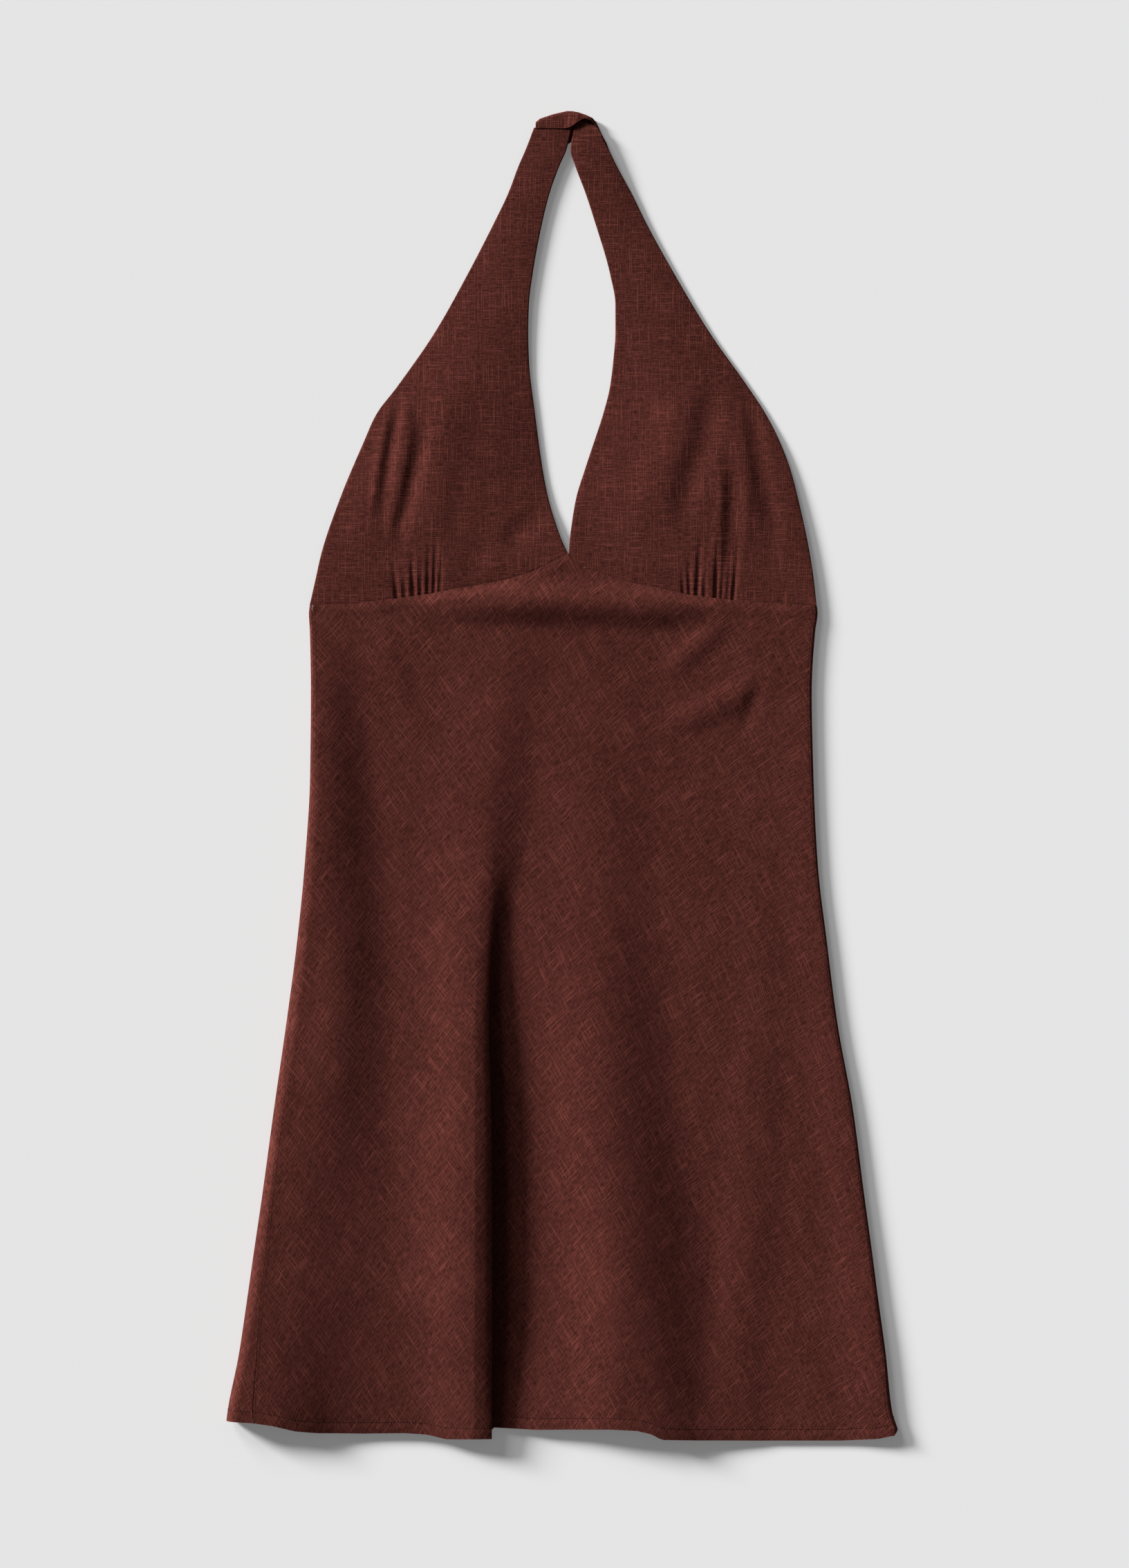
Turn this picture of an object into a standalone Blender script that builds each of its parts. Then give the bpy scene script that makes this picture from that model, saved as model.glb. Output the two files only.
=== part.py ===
# A halter-neck mini dress in brown linen, laid flat with its neck towards +Y.
# Each piece that is cut and sewn is one closed wall of cloth: a sheet of points, thickened inwards.
# Every table below is in millimetres. x = 0, y = 0 is the middle of the laid-out dress,
# and z = 0 is the surface it lies on. The last function turns them into metres.
import math

import bpy
import numpy as np

MM = 0.001

# Driving sizes
SKIRT_WALL = 1.2      # linen with its turned seams
CUP_WALL = 1.5        # cups and straps are two layers, sewn and turned out
BAND_WALL = 1.2
SEAM_GAP = 0.45       # along the dress, which leaves 0.3 mm square to the slanted seam
SIDE_GAP = 0.8        # the walls' inner edges come closer, on the rolled edge
SEAM_HEIGHT = 3.8     # the sewn edge under the bust stands on both skirt panels
SEAM_RIDGE = 1.2      # the seam's turned edges lift the skirt just below it
SEAM_RIDGE_AT = 5.0
SEAM_RIDGE_REACH = 5.0
SEAM_FADE = 26.0      # the folds start this far below the seam
EDGE_CLEAR = 12.0     # the folds keep this far from the rolled side edges
SIDE_JOIN = 4.0       # the rolled columns end this far past the round of the edge
ROLL_RIDGE = {"x": (-118, -60, 0, 62, 122), "y": (120, 121, 120, 117, 117), "height": 3.8, "half": 20}
ROLL_RIDGE_FADE = 70.0

CLOTH_COLOUR = (0.064, 0.018, 0.013, 1.0)
CLOTH_ROUGHNESS = 0.85

# The seam under the bust, from the left side over the point between the cups to the right side.
SEAM_LINE = {
    "x": (-174.5, -146, -115, -93.5, -75.5, -57, -39, -21, -8.5, 4.5,
          9, 15.5, 31.5, 48.5, 68.5, 85, 101, 118.5, 143.5, 176.5),
    "y": (118, 119, 122.7, 125.6, 129.2, 132.1, 135.5, 141, 147, 154,
          150.8, 144.1, 138.6, 133.5, 129.7, 125.9, 123.5, 121.6, 119.7, 117.5),
}
SEAM_POINT_X = 4.5

# The hem of the front, from the left side seam to the right. It steps at the deep fold.
HEM_LINE = {
    "x": (-214, -199, -184, -169, -138, -108, -93, -80, -51, -47.5, -17,
          34, 52, 62, 69, 95, 138, 194, 219, 228),
    "y": (-446.8, -449, -452.8, -454.3, -455, -454.7, -455.7, -458.6, -458.1, -450.9, -452.3,
          -451.4, -452.3, -454.7, -458.6, -459.5, -460, -460, -458.6, -456.6),
}
BACK_TOP = 112.0
BACK_HEM = -445.0
SIDE_HEM = {"left": -445.6, "right": -451.0}

# One row for each section of the skirt: the side edges, how high each edge rolls, how far in from
# the edge its side seam lies, and how far in the roll's slope reaches.
SIDES = {
    "y": (118, 113, 100, 58, 0, -60, -115, -170, -230, -290, -330, -360, -400, -440, -452),
    "left": (-174.3, -175, -174.3, -173.5, -174, -177.6, -183, -190.2, -198.8, -207, -212.9,
             -217.2, -223.2, -231.1, -232.5),
    "right": (176.4, 177.1, 175.4, 173, 174.2, 177.1, 183.5, 190.6, 201.4, 209.3, 214.8,
              218.7, 224.2, 228.7, 232.5),
    "left_rise": (4, 4.2, 5, 7.6, 10.4, 12.6, 14.2, 15, 15.4, 15, 14.6, 14, 13.4, 12.6, 12.4),
    "right_rise": (4, 4, 4, 4, 4, 4, 4.1, 4.2, 4.4, 4.6, 4.8, 5, 5.2, 5.4, 5.4),
    "left_seam": (2.1, 2.1, 2.1, 2.1, 2.1, 2.1, 2.1, 2.2, 5, 6.2, 8.7, 9.6, 12.6, 17.6, 19.2),
    "right_seam": (2, 2, 1.8, 1.6, 1.4, 1.2, 1.2, 1.2, 1.2, 1.2, 1.2, 1.2, 1.6, 2.6, 2.8),
    "left_reach": (24, 25, 28, 34, 42, 54, 66, 76, 86, 96, 100, 102, 104, 106, 106),
    "right_reach": (30, 30, 30, 30, 30, 30, 30, 30, 30, 32, 34, 36, 38, 40, 40),
}

# The level at which the front lies on the back, between its folds.
LYING = {"y": (118, 0, -168, -452), "z": (3.8, 3.3, 2.9, 2.7)}

# One fold of the front in each entry, at stations down the skirt: the middle of its crest, the
# crest's flat width, the widths of its slopes, and how far it stands above the lying level. The
# higher its "peak", the closer the left slope's rise keeps to the crest.
FLUTES = {
    "left_flute": {
        "y": (100, -37, -85, -133, -181, -277, -372, -452),
        "crest": (-168, -165, -163, -161, -159, -157, -155, -152),
        "flat": (2, 2, 2, 2, 2, 2, 2, 2),
        "left_slope": (22, 30, 34, 38, 40, 42, 42, 42),
        "right_slope": (30, 38, 40, 42, 44, 44, 44, 44),
        "rise": (0, 0.5, 1.4, 2.6, 3.6, 3.8, 3.0, 2.4),
        "peak": 0.6,
    },
    "deep_fold": {
        "y": (118, -38, -85, -133, -181, -277, -452),
        "crest": (-38, -54, -57, -60, -62, -62.5, -62),
        "flat": (0, 0, 0, 0, 0, 0, 0),
        "left_slope": (72, 60, 52, 48, 46, 46, 50),
        "right_slope": (40, 34, 26, 14, 6, 4, 4),
        "rise": (1.0, 2.4, 3.2, 4.0, 4.6, 5.2, 5.8),
        "peak": 1.5,
    },
    "right_flute": {
        "y": (60, -87, -181, -277, -372, -452),
        "crest": (14, 18, 22.7, 30, 37, 43),
        "flat": (0, 0, 0, 0, 0, 2),
        "left_slope": (60, 64, 72, 78, 84, 90),
        "right_slope": (50, 52, 52, 54, 58, 60),
        "rise": (0.4, 2.8, 5.6, 8.4, 10.0, 10.6),
        "peak": 2.2,
    },
    "small_fold": {
        "y": (60, -168, -266, -400, -452),
        "crest": (140, 135, 131, 121, 119),
        "flat": (4, 4, 4, 4, 4),
        "left_slope": (22, 22, 22, 24, 26),
        "right_slope": (22, 22, 24, 26, 26),
        "rise": (0.2, 0.6, 1.0, 1.4, 1.4),
        "peak": 1.0,
    },
}
# Left of the deep fold the cloth lies higher than on its other side, by this much.
SHOULDER = {"y": (118, -38, -85, -133, -181, -277, -452), "z": (0, 1.2, 2.8, 4.8, 6.6, 8.4, 8.2)}

# The deep fold's sheer side bulges out like a pipe, by this much.
BULGE = {"y": (118, -60, -85, -133, -181, -277, -452), "by": (0, 0, 1.5, 5, 8, 10.5, 11)}
BULGE_SHAPE = 2.5     # the higher, the closer the bulge keeps to the crest

# How the grid of each panel is spread out. A column over a rolled edge has its share of the way
# from the side seam, one at the deep fold has its distance in widths of the sheer side, and a row
# has its share of the way from the seam to the hem.
ROLL_SHARES = (0.0, 0.1, 0.35, 0.65, 1.0)
WRAP_SHARES = (1.0, 0.91, 0.6, 0.3)
SHEER_STEPS = (-4.0, -1.8, -0.6, 0.0, 0.2, 0.35, 0.5, 0.65, 0.82, 1.0, 1.8, 3.4)
SHEER_WIDEST = 8.0
SEAM_ROWS = (0.0, 0.005, 0.010, 0.018, 0.035, 0.065)
ROW_AFTER_SEAM = 0.11
SKIRT_ROWS = 27
LEFT_COLUMNS = 15
MIDDLE_COLUMNS = 6
RIGHT_COLUMNS = 16
FLOOR_COLUMNS = 8
UNDER_COLUMNS = 4
SEAM_TOP = 125.0      # column ends are found at these two levels
HEM_LEVEL = -452.0

# The cups with their straps: outer and inner edge, from the neck band down to the seam.
CUPS = {
    "left_cup": {
        "outer": {
            "y": (446, 433, 422, 403, 384, 346, 307, 269, 250, 231, 192, 154, 135, 118),
            "x": (-20.5, -25.1, -29.9, -37.1, -46.2, -65.8, -87.8, -114.2, -128.5, -137.1, -153.4,
                  -166.3, -170.6, -174.4),
        },
        "inner": {
            "y": (448, 433, 422, 403, 384, 346, 326, 307, 288, 250, 212, 192, 173, 164, 154),
            "x": (5.2, 2.2, -1.7, -8.4, -13.2, -20.3, -22.7, -23.2, -22.7, -18.4, -13.2, -9.3,
                  -3.6, -0.4, 4.1),
        },
        "lift": {
            "y": (448, 422, 384, 330, 307, 288, 269, 240, 211, 192, 154, 118),
            "outer": (1.7, 1.6, 0.8, 0.2, 0, 0, 0, 0.1, 0.6, 1.2, 1.8, 2.3),
            "inner": (1.8, 2.2, 2.2, 2.0, 1.5, 1.0, 0.5, 0.2, 0.2, 0.6, 2.3, 2.3),
            "puff": (0.3, 0.4, 0.6, 0.8, 1.0, 1.4, 2.0, 2.6, 2.8, 2.6, 1.0, 0.3),
        },
    },
    "right_cup": {
        "outer": {
            "y": (442.5, 433, 422, 403, 384, 346, 307, 269, 250, 231, 212, 192, 154, 135, 118),
            "x": (27.6, 32.6, 38.0, 48.4, 57.7, 78.7, 102.2, 129, 141.4, 151, 158.2, 163.5,
                  171.6, 174.5, 176.3),
        },
        "inner": {
            "y": (442.5, 433, 422, 403, 384, 346, 326, 307, 288, 269, 250, 231, 212, 192, 173,
                  164, 154),
            "x": (7.4, 6.0, 9.3, 16.5, 22.7, 33.7, 37.1, 37.1, 35.7, 33.3, 28.5, 22.3, 16,
                  9.9, 6.7, 5.6, 4.9),
        },
        "lift": {
            "y": (443, 422, 403, 365, 326, 288, 250, 231, 211, 192, 154, 118),
            "outer": (3.6, 3.0, 1.6, 0.6, 0.2, 0, 0.2, 0.8, 1.2, 1.6, 2.0, 2.3),
            "inner": (1.9, 1.4, 0.6, 0.1, 0, 0, 0, 0.1, 0.2, 0.4, 2.3, 2.3),
            "puff": (0.2, 0.4, 0.6, 0.8, 1.0, 1.4, 2.2, 2.6, 2.8, 2.6, 1.0, 0.3),
        },
    },
}
CUP_ROWS = 23
CUP_SEAM_FADE = 16.0
CUP_STATION = 13.0    # columns outside the gathers are this far apart at the seam
CUP_ENDS = {"left_cup": (-174.4, 4.1), "right_cup": (4.9, 176.3)}
GATHER_CLEAR = 2.5    # from the outermost gathers to the flat of the cup
ROW_CROWDING = 1.4    # the higher, the closer the rows of a cup stand near the seam
GATHER_FROM = 0.5     # from this share of the way down, the columns draw in to the gathers
SAG_FROM = 0.55       # and the rows take on the seam's slant
FOLD_FADE = 0.4       # each end of a soft fold dies away over this share of half its length

# Soft folds of the cups: the line of each, its height (a hollow is below nought), half its width.
CUP_FOLDS = {
    "left_cup": (
        {"y": (262, 254, 226, 200, 165), "x": (-112, -114, -119, -123, -126), "height": -1.9,
         "half": 7.0},
        {"y": (270, 230, 186), "x": (-106, -109, -115), "height": 1.2, "half": 7.0},
        {"y": (256, 230, 211, 176, 150), "x": (-93, -97, -101, -110, -114), "height": -2.2,
         "half": 8.0},
        {"y": (285, 246, 215, 178, 145), "x": (-74, -80, -85, -90, -90), "height": 2.0,
         "half": 15.0},
        {"y": (190, 176, 164, 148), "x": (-8, -20, -34, -26), "height": -1.4, "half": 12.0},
        {"y": (164, 146, 132), "x": (-60, -60, -60), "height": -0.9, "half": 10.0},
    ),
    "right_cup": (
        {"y": (280, 255, 231, 212, 192, 165), "x": (84, 79, 76, 68, 64, 60), "height": 1.8,
         "half": 22.0},
        {"y": (280, 255, 231, 212, 192, 160), "x": (104, 101, 99, 91, 86, 80), "height": -1.8,
         "half": 13.0},
        {"y": (228, 208, 191, 154, 130), "x": (107, 110, 110, 107.5, 104), "height": 1.4,
         "half": 5.0},
        {"y": (226, 208, 191, 154, 128), "x": (115, 119, 119, 117, 113), "height": -1.6,
         "half": 8.0},
        {"y": (270, 255, 214, 173, 146), "x": (128, 131, 138, 146, 147), "height": -1.7,
         "half": 9.0},
        {"y": (250, 200, 150), "x": (120, 127, 127), "height": 1.0, "half": 9.0},
    ),
}

# Gathers, where the cup's fullness is sewn into the seam: place, length and depth of each.
GATHERS = {
    "left_cup": {
        "x": (-114, -108.5, -102.5, -97.5, -92.5, -88.5, -84.5),
        "length": (22, 16, 30, 20, 34, 36, 22),
        "depth": (1.1, 0.8, 1.3, 0.9, 1.1, 1.2, 0.8),
    },
    "right_cup": {
        "x": (84.5, 88.5, 93.5, 99, 106.5, 110.5, 114.5, 118.5),
        "length": (18, 26, 42, 16, 46, 24, 22, 44),
        "depth": (0.8, 1.0, 1.3, 0.8, 1.5, 0.9, 0.8, 1.2),
    },
}

# The neck band, a strip folded over along its outer edge: one row for each section from the left
# strap's seam over the top and down behind the right strap. "towards" is the direction, in
# degrees, from the fold to the strip's two edges. The front layer reaches "flap" from the fold.
BAND = {
    "x": (-17.6, -15.2, -6, 3.6, 8, 11.7, 17, 21.3, 24.2, 28.3, 32.4, 37.4),
    "y": (452.3, 454.7, 457.8, 460, 459.8, 459, 457.2, 455.2, 451.9, 443.9, 437.5, 428.1),
    "towards": (268, 272, 270, 266, 262, 258, 245, 232, 215, 208, 208, 208),
    "flap": (3.8, 6.1, 9.2, 11.4, 10.6, 7.6, 2.8, 2.5, 2.1, 2.0, 2.0, 2.0),
    "back": (11, 14, 18, 22, 22.5, 20, 16, 13.5, 12, 10, 9, 7),
    "flap_z": (3.0, 3.0, 3.0, 3.2, 3.8, 4.1, 4.1, 3.5, 2.8, 2.6, 2.6, 2.6),
}
FOLD_STEPS = 6        # points round the fold
BACK_STEPS = 3        # and across the layer behind it

# The band's other end, from the right strap's seam up into the band.
BAND_END_COLUMNS = 7
BAND_END = {
    "left_x": (7.4, 8.3, 10.0, 12.5),
    "left_y": (443.0, 447.5, 450.6, 453.4),
    "right_x": (27.4, 25.5, 23.6, 21.2),
    "right_y": (443.0, 446.8, 448.8, 450.4),
    "left_z": (3.4, 3.3, 3.0, 2.8),
    "right_z": (5.1, 5.0, 4.7, 3.8),
}


def smooth(table_x, table_y, x):
    """A curve through the table's points that never swings past them."""
    px = np.asarray(table_x, float)
    py = np.asarray(table_y, float)
    if px[0] > px[-1]:
        px, py = px[::-1], py[::-1]
    step = np.diff(px)
    rise = np.diff(py) / step
    slope = np.zeros_like(px)
    slope[0], slope[-1] = rise[0], rise[-1]
    same = rise[:-1] * rise[1:] > 0
    ahead = 2 * step[1:] + step[:-1]
    behind = step[1:] + 2 * step[:-1]
    safe = np.where(same, rise[:-1] * rise[1:], 1.0)
    mean = (ahead + behind) * safe / (ahead * rise[1:] + behind * rise[:-1] + (~same))
    slope[1:-1] = np.where(same, mean, 0.0)
    x = np.clip(np.asarray(x, float), px[0], px[-1])
    i = np.clip(np.searchsorted(px, x) - 1, 0, len(step) - 1)
    t = (x - px[i]) / step[i]
    return (py[i] * (1 + 2 * t) * (1 - t) ** 2 + py[i + 1] * t * t * (3 - 2 * t)
            + step[i] * (slope[i] * t * (1 - t) ** 2 - slope[i + 1] * t * t * (1 - t)))


def ease(t):
    """Rises softly from 0 to 1 as t does."""
    t = np.clip(t, 0.0, 1.0)
    return t * t * (3 - 2 * t)


def hump(t):
    """1 at t = 0, falling softly to 0 at t = 1 and t = -1."""
    return 0.5 + 0.5 * np.cos(math.pi * np.clip(np.abs(t), 0.0, 1.0))


def side(column, y):
    return float(smooth(SIDES["y"], SIDES[column], y))


def seam_y(x):
    return float(np.interp(x, SEAM_LINE["x"], SEAM_LINE["y"]))


def hem_y(x):
    return float(np.interp(x, HEM_LINE["x"], HEM_LINE["y"]))


def flute_height(flute, x, y):
    """How far one fold of the front stands above the lying level."""
    at = {key: float(smooth(flute["y"], flute[key], y)) for key in flute if key not in ("y", "peak")}
    past = x - at["crest"]
    beside = max(abs(past) - at["flat"] / 2, 0.0)
    if past < 0:
        return at["rise"] * float(hump(beside / at["left_slope"])) ** flute["peak"]
    return at["rise"] * float(hump(beside / at["right_slope"]))


def side_wrap(which, y):
    """How far over its rolled edge, along the cloth, a side seam lies."""
    radius, inwards = side(which + "_rise", y) / 2, side(which + "_seam", y)
    on_round = radius * math.acos(max(1 - inwards / radius, 0.0))
    return on_round + max(inwards - radius, 0.0)


def roll_tops(y):
    """Where the rolled side edges are highest."""
    return side("left", y) + side("left_rise", y) / 2, side("right", y) - side("right_rise", y) / 2


def front_height(x, y):
    """The upper surface of the skirt front at x, y."""
    left, right = roll_tops(y)
    below = seam_y(x) - y
    free = float(ease(below / SEAM_FADE))
    deep = FLUTES["deep_fold"]
    past_crest = max(x - float(smooth(deep["y"], deep["crest"], y)), 0.0)
    shoulder = float(smooth(SHOULDER["y"], SHOULDER["z"], y))
    shoulder *= float(hump(past_crest / float(smooth(deep["y"], deep["right_slope"], y))))
    level = SEAM_HEIGHT + (float(smooth(LYING["y"], LYING["z"], y)) - SEAM_HEIGHT) * free + shoulder
    z = level
    z += (side("left_rise", y) - level) * float(hump((x - left) / side("left_reach", y)))
    z += (side("right_rise", y) - level) * float(hump((right - x) / side("right_reach", y)))
    folds = free * sum(flute_height(flute, x, y) for flute in FLUTES.values())
    folds += SEAM_RIDGE * float(hump((below - SEAM_RIDGE_AT) / SEAM_RIDGE_REACH))
    folds += soft_ridge(x, y) * float(ease(below / SEAM_RIDGE_AT))
    return z + folds * float(ease((x - left) / EDGE_CLEAR) * ease((right - x) / EDGE_CLEAR))


def soft_ridge(x, y):
    """The broad soft ridge across the front just below the seam, which dies away at both ends."""
    ends = ROLL_RIDGE["x"][0], ROLL_RIDGE["x"][-1]
    away = y - float(smooth(ROLL_RIDGE["x"], ROLL_RIDGE["y"], x))
    fade = ease(min(x - ends[0], ends[1] - x) / ROLL_RIDGE_FADE)
    return ROLL_RIDGE["height"] * float(hump(away / ROLL_RIDGE["half"]) * fade)


def roll_point(which, s, y):
    """A point of the skirt at a distance s along the cloth from its side edge: up over the rolled
    edge where s is above nought, and down to the surface below it."""
    edge, radius = side(which, y), side(which + "_rise", y) / 2
    inwards = 1 if which == "left" else -1
    quarter = radius * math.pi / 2
    if s > quarter:
        x = edge + inwards * (radius + s - quarter)
        return x, y, front_height(x, y)
    angle = max(s, -quarter) / radius
    x = edge + inwards * radius * (1 - math.cos(angle))
    x += inwards * max(-s - quarter, 0.0)
    return x, y, radius + radius * math.sin(angle)


def skirt_levels():
    """Shares of the way from the seam to the hem, close together at the seam's ridge."""
    return SEAM_ROWS + tuple(np.linspace(ROW_AFTER_SEAM, 1.0, SKIRT_ROWS - len(SEAM_ROWS)))


def front_skirt():
    """The front panel: over the left roll, across its folds and over the right roll."""
    deep = FLUTES["deep_fold"]
    rows = []
    for share in skirt_levels():
        row = []
        for place in front_columns():
            y_top = seam_y(front_point(place, SEAM_TOP)[0]) - SEAM_GAP / 2
            y_hem = hem_y(front_point(place, HEM_LEVEL)[0])
            x, y, z = front_point(place, y_top + (y_hem - y_top) * share)
            if x > float(smooth(deep["y"], deep["crest"], y)):
                risen = flute_height(deep, x, y) / float(smooth(deep["y"], deep["rise"], y))
                x += float(smooth(BULGE["y"], BULGE["by"], y)) * math.sin(math.pi * risen ** BULGE_SHAPE)
            row.append((x, y, z))
        rows.append(row)
    return rows


def front_columns():
    """Each column of the front: the stretch it is in and how far along that stretch it is."""
    columns = [("left_roll", share) for share in ROLL_SHARES[:-1]]
    columns += [("left_field", i / LEFT_COLUMNS) for i in range(LEFT_COLUMNS)]
    columns += [("sheer", step) for step in SHEER_STEPS]
    columns += [("middle", i / MIDDLE_COLUMNS) for i in range(1, MIDDLE_COLUMNS)]
    columns += [("right_field", i / RIGHT_COLUMNS) for i in range(RIGHT_COLUMNS)]
    columns += [("right_roll", share) for share in reversed(ROLL_SHARES)]
    return columns


def front_point(place, y):
    """A point of the front panel in one of its columns."""
    stretch, share = place
    if stretch in ("left_roll", "right_roll"):
        which = stretch.split("_")[0]
        start = side_wrap(which, y) + SIDE_GAP / 2
        return roll_point(which, start + (join_distance(which, y) - start) * share, y)
    deep = FLUTES["deep_fold"]
    crest = float(smooth(deep["y"], deep["crest"], y))
    face = min(float(smooth(deep["y"], deep["right_slope"], y)), SHEER_WIDEST)
    left = roll_point("left", join_distance("left", y), y)[0]
    right = roll_point("right", join_distance("right", y), y)[0]
    before = crest + SHEER_STEPS[0] * face
    after = crest + SHEER_STEPS[-1] * face
    if stretch == "left_field":
        x = left + (before - left) * share
    elif stretch == "sheer":
        x = crest + share * face
    elif stretch == "middle":
        x = after + (SEAM_POINT_X - after) * share
    else:
        x = SEAM_POINT_X + (right - SEAM_POINT_X) * share
    return x, y, front_height(x, y)


def join_distance(which, y):
    """How far over the rolled edge the side columns end and the open front begins."""
    quarter = side(which + "_rise", y) * math.pi / 4
    return max(quarter, side_wrap(which, y)) + SIDE_JOIN


def back_skirt():
    """The back panel: from the left side seam round the edge, along the surface and up again."""
    under = [-i / UNDER_COLUMNS for i in range(UNDER_COLUMNS + 1)]
    path = [("left", share) for share in WRAP_SHARES] + [("left", share) for share in under]
    path += [("floor", i / FLOOR_COLUMNS) for i in range(1, FLOOR_COLUMNS)]
    path += [("right", share) for share in reversed(under)]
    path += [("right", share) for share in reversed(WRAP_SHARES)]
    rows = []
    for share in skirt_levels():
        row = []
        for which, along in path:
            raised = max(along, 0.0) if which != "floor" else 0.0
            edge_share = 1 + min(along, 0.0) if which != "floor" else 0.0
            name = which if which != "floor" else "left"
            y_top = BACK_TOP + (SIDES["y"][0] - SEAM_GAP - BACK_TOP) * edge_share
            x_hem = roll_point(name, side_wrap(name, HEM_LEVEL), HEM_LEVEL)[0]
            y_hem = BACK_HEM + (SIDE_HEM[name] - BACK_HEM) * edge_share
            y_hem += (hem_y(x_hem) - SIDE_HEM[name]) * raised
            row.append(back_point(which, along, y_top + (y_hem - y_top) * share))
        rows.append(row)
    return rows


def back_point(which, along, y):
    """A point of the back panel: on the surface, or at its share of the way round a side edge."""
    if which == "floor":
        left, right = roll_tops(y)
        return left + (right - left) * along, y, 0.0
    if along > 0:
        return roll_point(which, (side_wrap(which, y) - SIDE_GAP / 2) * along, y)
    return roll_point(which, along * side(which + "_rise", y) * math.pi / 4, y)


def cup_stations(name):
    """Columns of a cup at the seam, and how far each is raised or sunk there by the gathers."""
    gathers = GATHERS[name]
    start, end = CUP_ENDS[name]
    valleys = list(zip(gathers["x"], gathers["length"], gathers["depth"]))
    first, last = valleys[0][0] - GATHER_CLEAR, valleys[-1][0] + GATHER_CLEAR
    before = max(2, round((first - start) / CUP_STATION))
    after = max(2, round((end - last) / CUP_STATION))
    stations = [(x, 1.0, 0.0) for x in np.linspace(start, first, before + 1)]
    for i, (x, length, depth) in enumerate(valleys):
        stations.append((x, length, -depth))
        if i + 1 < len(valleys):
            x_next, length_next, depth_next = valleys[i + 1]
            stations.append(((x + x_next) / 2, (length + length_next) / 2,
                             (depth + depth_next) / 4))
    return stations + [(x, 1.0, 0.0) for x in np.linspace(last, end, after + 1)]


def fold_height(fold, x, y):
    """One soft fold of a cup, which dies away at both ends."""
    top, bottom = fold["y"][0], fold["y"][-1]
    middle, half_length = (top + bottom) / 2, (top - bottom) / 2
    line = float(smooth(fold["y"], fold["x"], y))
    along = float(ease((1 - abs(y - middle) / half_length) / FOLD_FADE))
    return fold["height"] * float(hump((x - line) / fold["half"])) * along


def cup(name):
    """A cup and its strap, from the neck band down to its gathers at the seam."""
    shape = CUPS[name]
    stations = cup_stations(name)
    start, end = CUP_ENDS[name]
    seam_shares = [(station[0] - start) / (end - start) for station in stations]
    even_shares = np.linspace(0.0, 1.0, len(stations))
    left_edge, right_edge = ("outer", "inner") if name == "left_cup" else ("inner", "outer")
    bottoms = {left_edge: seam_y(start), right_edge: seam_y(end)}
    rows = []
    for s in np.linspace(0.0, 1.0, CUP_ROWS):
        t = 1 - (1 - s) ** ROW_CROWDING
        drawn_in = float(ease((t - GATHER_FROM) / (1 - GATHER_FROM)))
        shares = even_shares + (seam_shares - even_shares) * drawn_in
        ends, lifts = [], []
        for edge in (left_edge, right_edge):
            top = shape[edge]["y"][0]
            y = top + (bottoms[edge] - top) * t
            ends.append((float(smooth(shape[edge]["y"], shape[edge]["x"], y)), y))
            lifts.append(float(smooth(shape["lift"]["y"], shape["lift"][edge], y)))
        puff = float(smooth(shape["lift"]["y"], shape["lift"]["puff"], (ends[0][1] + ends[1][1]) / 2))
        row = []
        for share, (_, length, depth) in zip(shares, stations):
            x = ends[0][0] + (ends[1][0] - ends[0][0]) * share
            y = ends[0][1] + (ends[1][1] - ends[0][1]) * share
            sag = seam_y(start + (end - start) * share)
            sag -= bottoms[left_edge] + (bottoms[right_edge] - bottoms[left_edge]) * share
            y += sag * float(ease((t - SAG_FROM) / (1 - SAG_FROM)))
            above = y - seam_y(x)
            z = CUP_WALL + lifts[0] + (lifts[1] - lifts[0]) * share + puff * 4 * share * (1 - share)
            edge_clear = min(x - ends[0][0], ends[1][0] - x) / EDGE_CLEAR
            folds = sum(fold_height(fold, x, y) for fold in CUP_FOLDS[name])
            z += folds * float(ease(edge_clear))
            z = SEAM_HEIGHT + (z - SEAM_HEIGHT) * float(ease(above / CUP_SEAM_FADE))
            z += depth * float(ease(1 - above / length))
            row.append((x, y + SEAM_GAP / 2, max(z, CUP_WALL)))
        rows.append(row)
    return rows


def neck_band():
    """The folded strip: its front layer, the fold along its outer edge, and its back layer."""
    sections = len(BAND["x"])
    rows = []
    for i in range(sections):
        towards = math.radians(BAND["towards"][i])
        radius = (BAND["flap_z"][i] - BAND_WALL / 2) / 2
        outer = radius + BAND_WALL / 2
        profile = [(BAND["flap"][i], 2 * outer), ((BAND["flap"][i] + outer) / 2, 2 * outer)]
        for k in range(FOLD_STEPS + 1):
            angle = math.pi * k / FOLD_STEPS
            profile.append((outer - outer * math.sin(angle), outer + outer * math.cos(angle)))
        reach = np.linspace(outer, BAND["back"][i], BACK_STEPS + 1)[1:]
        profile += [(float(distance), 0.0) for distance in reach]
        rows.append([(BAND["x"][i] + inwards * math.cos(towards),
                      BAND["y"][i] + inwards * math.sin(towards), z) for inwards, z in profile])
    return rows


def neck_band_end():
    """The band's other end: a narrow flat strip up from the right strap."""
    rows = []
    for i in reversed(range(len(BAND_END["left_z"]))):
        ends = [[BAND_END[edge + "_" + axis][i] for axis in "xyz"] for edge in ("left", "right")]
        rows.append([tuple(point) for point in np.linspace(ends[0], ends[1], BAND_END_COLUMNS)])
    return rows


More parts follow.
